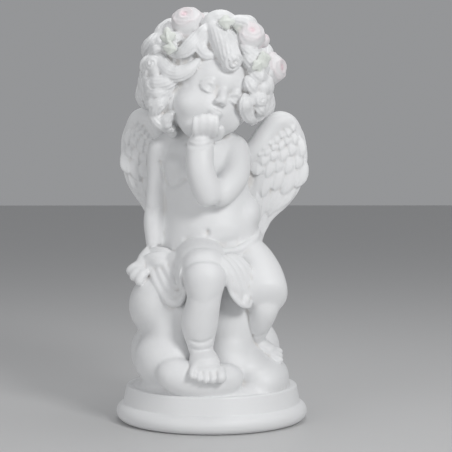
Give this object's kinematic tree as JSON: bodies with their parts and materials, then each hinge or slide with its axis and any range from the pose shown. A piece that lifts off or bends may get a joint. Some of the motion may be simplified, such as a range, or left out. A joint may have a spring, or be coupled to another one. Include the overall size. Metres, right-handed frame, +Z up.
{
  "type": "putto statue",
  "caption": "Winged child seated on a bank of cloud, chin on hand, wearing a garland of roses, cast in one with its round moulded plinth.",
  "frame": {"origin": "centre of the plinth's round underside", "axes": "+Z up, the figure faces -Y, +X to the viewer's right"},
  "size_m": [0.2358, 0.2332, 0.4967],
  "materials": {
    "cast_stone": "matt white cast stone of marble dust, with faint pink and sage green tints on the roses and leaves"
  },
  "bodies": {
    "root": {"putto_statue": "cast_stone"}
  },
  "joints": []
}
